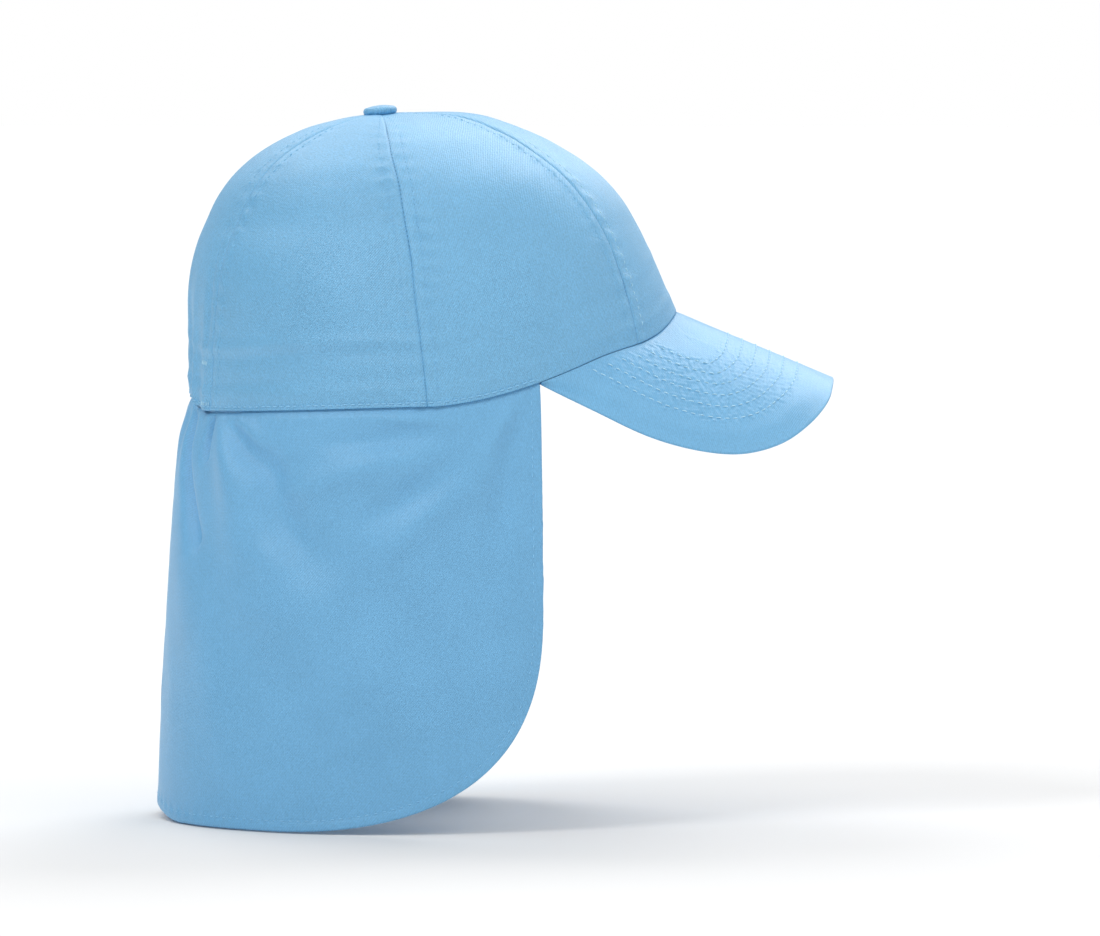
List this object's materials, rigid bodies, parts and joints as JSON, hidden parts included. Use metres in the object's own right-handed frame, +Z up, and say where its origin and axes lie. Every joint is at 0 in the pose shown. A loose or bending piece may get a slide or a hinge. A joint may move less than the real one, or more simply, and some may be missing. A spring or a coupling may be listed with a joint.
{
  "type": "legionnaire cap",
  "caption": "Legionnaire sun cap: a panelled cloth crown with a covered button, a stiff curved peak and a long neck flap round the sides and the back.",
  "frame": {"origin": "middle of the head opening, level with the rim at the sides", "axes": "+Z up out of the crown, -Y forward along the peak, +X to the wearer's left"},
  "size_m": [0.1682, 0.2706, 0.2849],
  "materials": {
    "twill": "matt cotton twill",
    "peak_twill": "matt cotton twill over a board",
    "band": "matt cotton tape"
  },
  "bodies": {
    "root": {"front_panel": "twill", "front_side_panel_left": "twill", "front_side_panel_right": "twill", "back_side_panel_left": "twill", "back_side_panel_right": "twill", "back_panel": "twill", "button": "twill", "peak": "peak_twill", "neck_flap": "twill", "sweatband": "band"}
  },
  "joints": []
}
